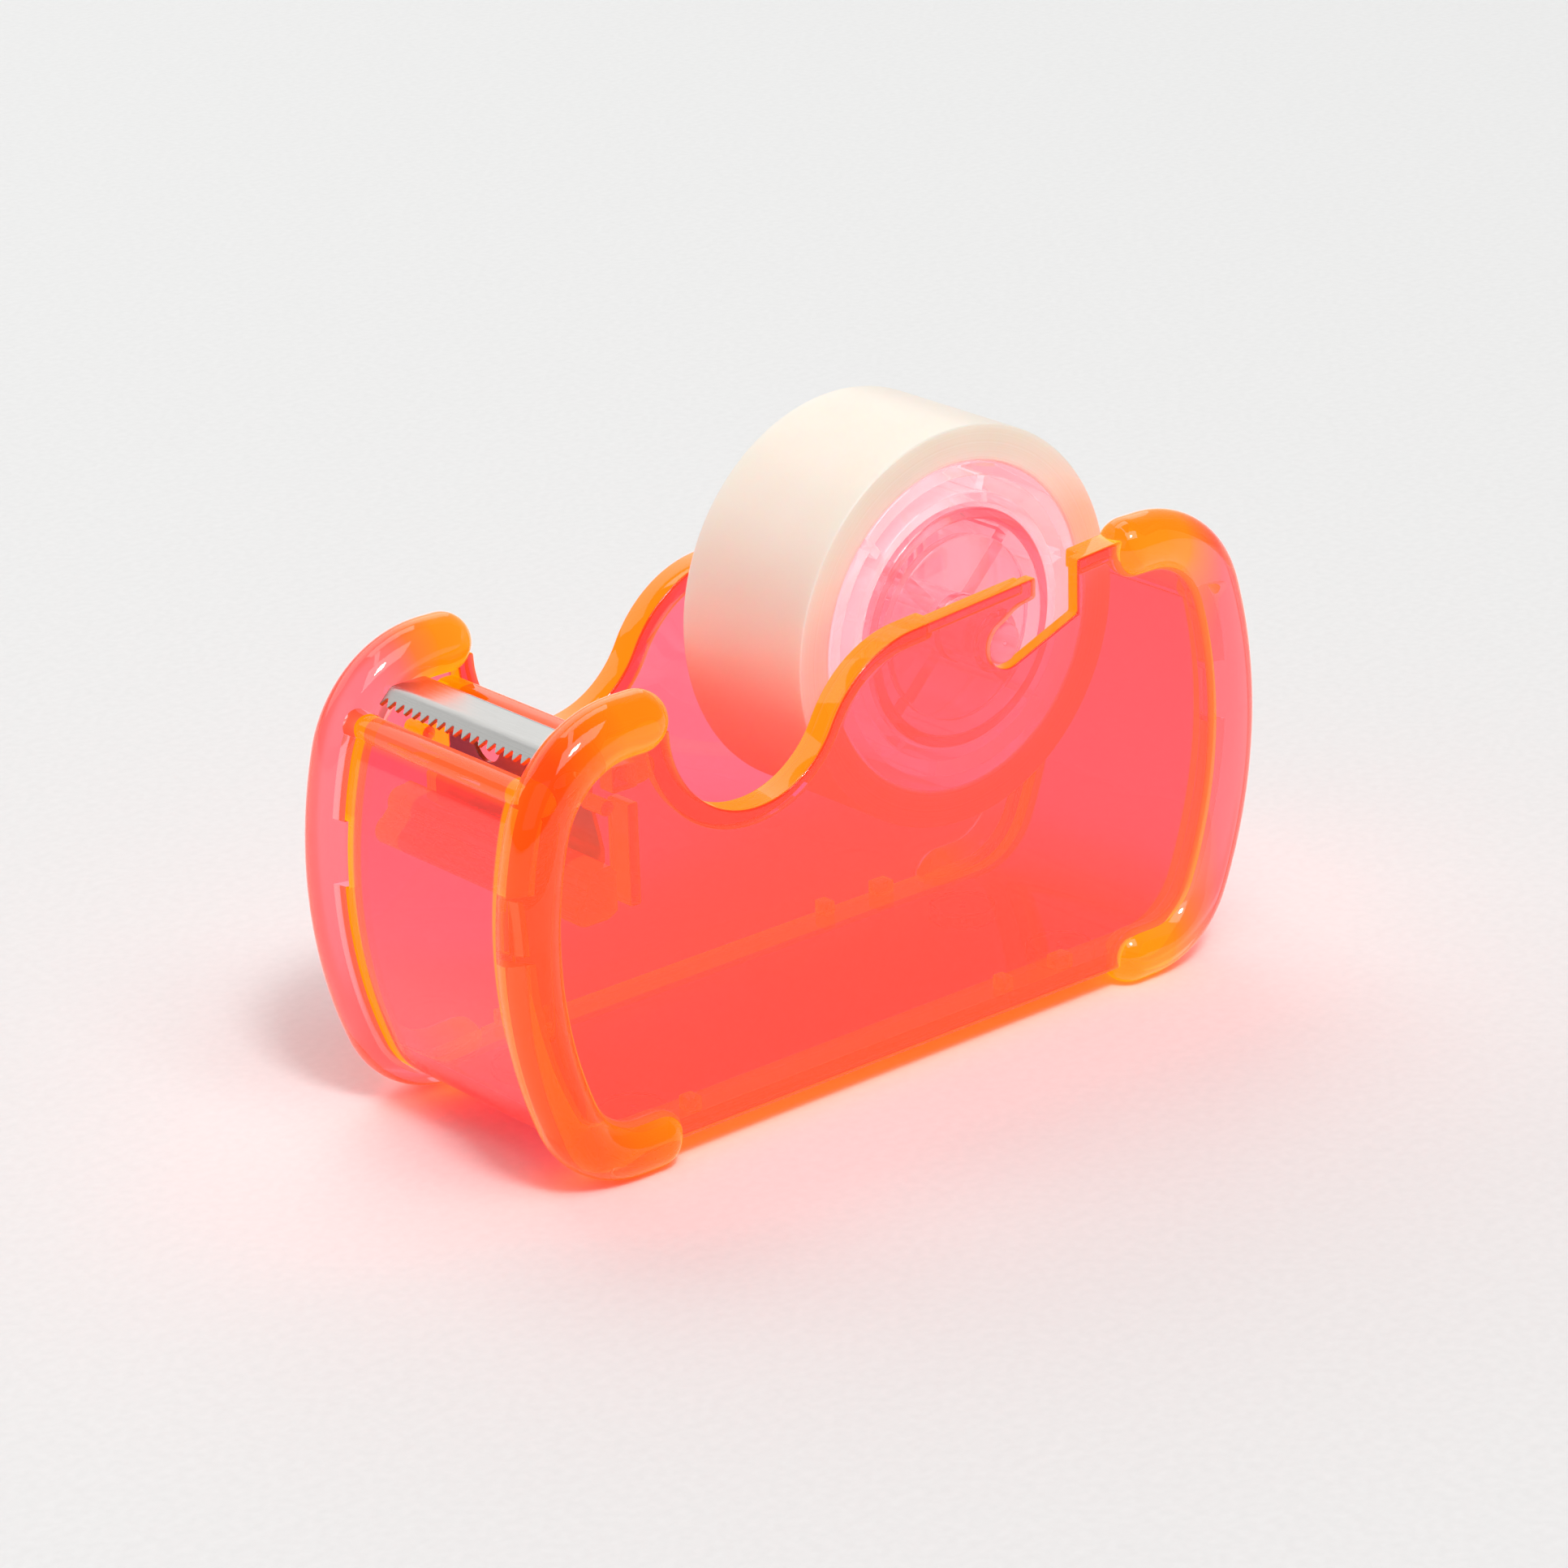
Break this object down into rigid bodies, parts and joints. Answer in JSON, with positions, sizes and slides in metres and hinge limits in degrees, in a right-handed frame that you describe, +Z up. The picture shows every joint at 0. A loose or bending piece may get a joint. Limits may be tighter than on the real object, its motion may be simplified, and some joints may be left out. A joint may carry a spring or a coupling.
{
  "type": "tape dispenser",
  "caption": "Small desk tape dispenser in clear fluorescent plastic: two wavy side panels with round bumpers, a toothed steel blade and a lift-out spool with a roll of tape.",
  "frame": {"origin": "on the surface the dispenser stands on, below the middle of its length and width", "axes": "+Z up, -X towards the blade, Y across the width with the near panel at -Y"},
  "size_m": [0.0986, 0.0362, 0.0632],
  "materials": {
    "panel_plastic": "polished clear fluorescent red-pink plastic, glowing orange at its edges",
    "bumper_plastic": "polished clear fluorescent plastic in thick round section, orange where it is thick",
    "spool_plastic": "polished clear colourless plastic, pink from the body around it",
    "core_plastic": "moulded clear colourless plastic",
    "tape_film": "wound satin film, cream, with fine concentric lines on its ends",
    "blade_steel": "nickel-plated spring steel with fine rolling lines",
    "foot_silicone": "clear soft silicone"
  },
  "bodies": {
    "body": {"near_side_panel": "panel_plastic", "near_front_bumper": "bumper_plastic", "near_rear_bumper": "bumper_plastic", "far_side_panel": "panel_plastic", "far_front_bumper": "bumper_plastic", "far_rear_bumper": "bumper_plastic", "channel": "panel_plastic", "blade": "blade_steel", "tape_rest": "panel_plastic", "blade_support": "panel_plastic", "foot_front_near": "foot_silicone", "foot_front_far": "foot_silicone", "foot_rear_near": "foot_silicone", "foot_rear_far": "foot_silicone"},
    "axle": {"axle": "spool_plastic"},
    "roll": {"spool_drum": "spool_plastic", "tape_core": "core_plastic", "tape_roll": "tape_film"}
  },
  "joints": [
    {"name": "axle_slide", "type": "slide", "parent": "body", "child": "axle", "axis": [0.9361, 0, 0.3518], "range_m": [0, 0.007]},
    {"name": "roll_spin", "type": "hinge", "parent": "axle", "child": "roll", "pos_m": [0.0143, 0, 0.0423], "axis": [0, 1, 0], "continuous": true}
  ]
}
